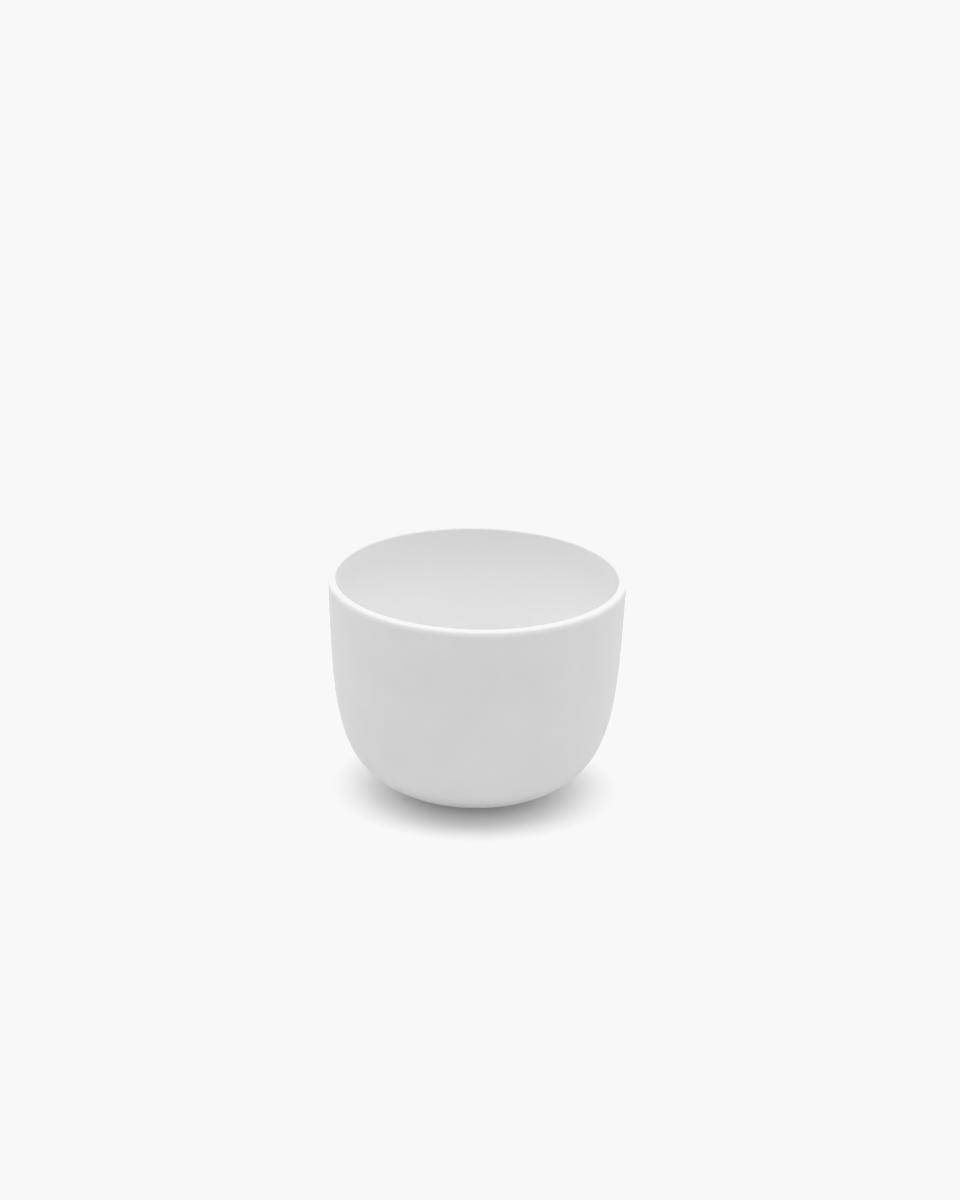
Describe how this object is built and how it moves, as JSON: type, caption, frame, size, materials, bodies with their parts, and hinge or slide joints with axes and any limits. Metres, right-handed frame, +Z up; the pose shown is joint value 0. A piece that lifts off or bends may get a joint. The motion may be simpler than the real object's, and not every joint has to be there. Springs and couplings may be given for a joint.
{
  "type": "espresso cup",
  "caption": "Handleless espresso cup: a rounded porcelain bowl with a nearly upright wall, a thin round lip and a low foot ring, matt glazed outside and satin inside.",
  "frame": {"origin": "on the cup's axis, on the table that the foot ring stands on", "axes": "+Z up along the axis of revolution, towards the mouth"},
  "size_m": [0.064, 0.064, 0.0486],
  "materials": {
    "porcelain": "fired bare, finely matt",
    "matt_glaze": "matt white glaze",
    "satin_glaze": "satin white glaze"
  },
  "bodies": {
    "root": {"porcelain_body": "porcelain", "outside_glaze": "matt_glaze", "inside_glaze": "satin_glaze", "foot_well_glaze": "satin_glaze"}
  },
  "joints": []
}
